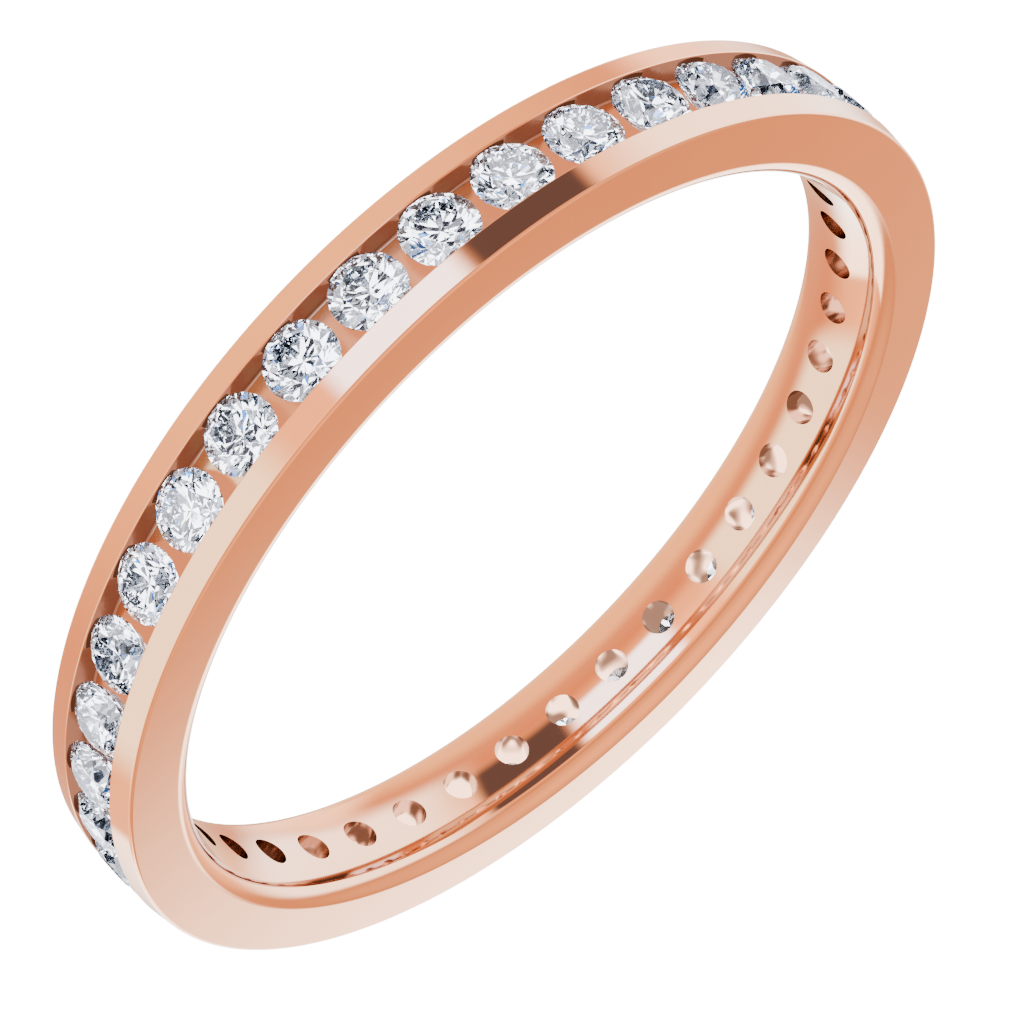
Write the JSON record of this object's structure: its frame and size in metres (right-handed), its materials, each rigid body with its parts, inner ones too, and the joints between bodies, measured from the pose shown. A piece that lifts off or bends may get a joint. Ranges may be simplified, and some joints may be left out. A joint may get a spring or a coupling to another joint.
{
  "type": "wedding band",
  "caption": "Channel-set eternity wedding band: a rose gold ring with a rounded inside and a full circle of round brilliants held between two rails.",
  "frame": {"origin": "on the finger axis, in the plane of the lower side face", "axes": "+Z along the finger axis; +X through the middle of the first stone; ring lies flat on its side face"},
  "size_m": [0.0208, 0.0208, 0.0024],
  "materials": {
    "rose_gold": "mirror polished rose gold",
    "diamond": "polished facets"
  },
  "bodies": {
    "root": {"band": "rose_gold", "diamond_01": "diamond", "diamond_02": "diamond", "diamond_03": "diamond", "diamond_04": "diamond", "diamond_05": "diamond", "diamond_06": "diamond", "diamond_07": "diamond", "diamond_08": "diamond", "diamond_09": "diamond", "diamond_10": "diamond", "diamond_11": "diamond", "diamond_12": "diamond", "diamond_13": "diamond", "diamond_14": "diamond", "diamond_15": "diamond", "diamond_16": "diamond", "diamond_17": "diamond", "diamond_18": "diamond", "diamond_19": "diamond", "diamond_20": "diamond", "diamond_21": "diamond", "diamond_22": "diamond", "diamond_23": "diamond", "diamond_24": "diamond", "diamond_25": "diamond", "diamond_26": "diamond", "diamond_27": "diamond", "diamond_28": "diamond", "diamond_29": "diamond", "diamond_30": "diamond", "diamond_31": "diamond", "diamond_32": "diamond", "diamond_33": "diamond", "diamond_34": "diamond", "diamond_35": "diamond", "diamond_36": "diamond", "diamond_37": "diamond", "diamond_38": "diamond"}
  },
  "joints": []
}
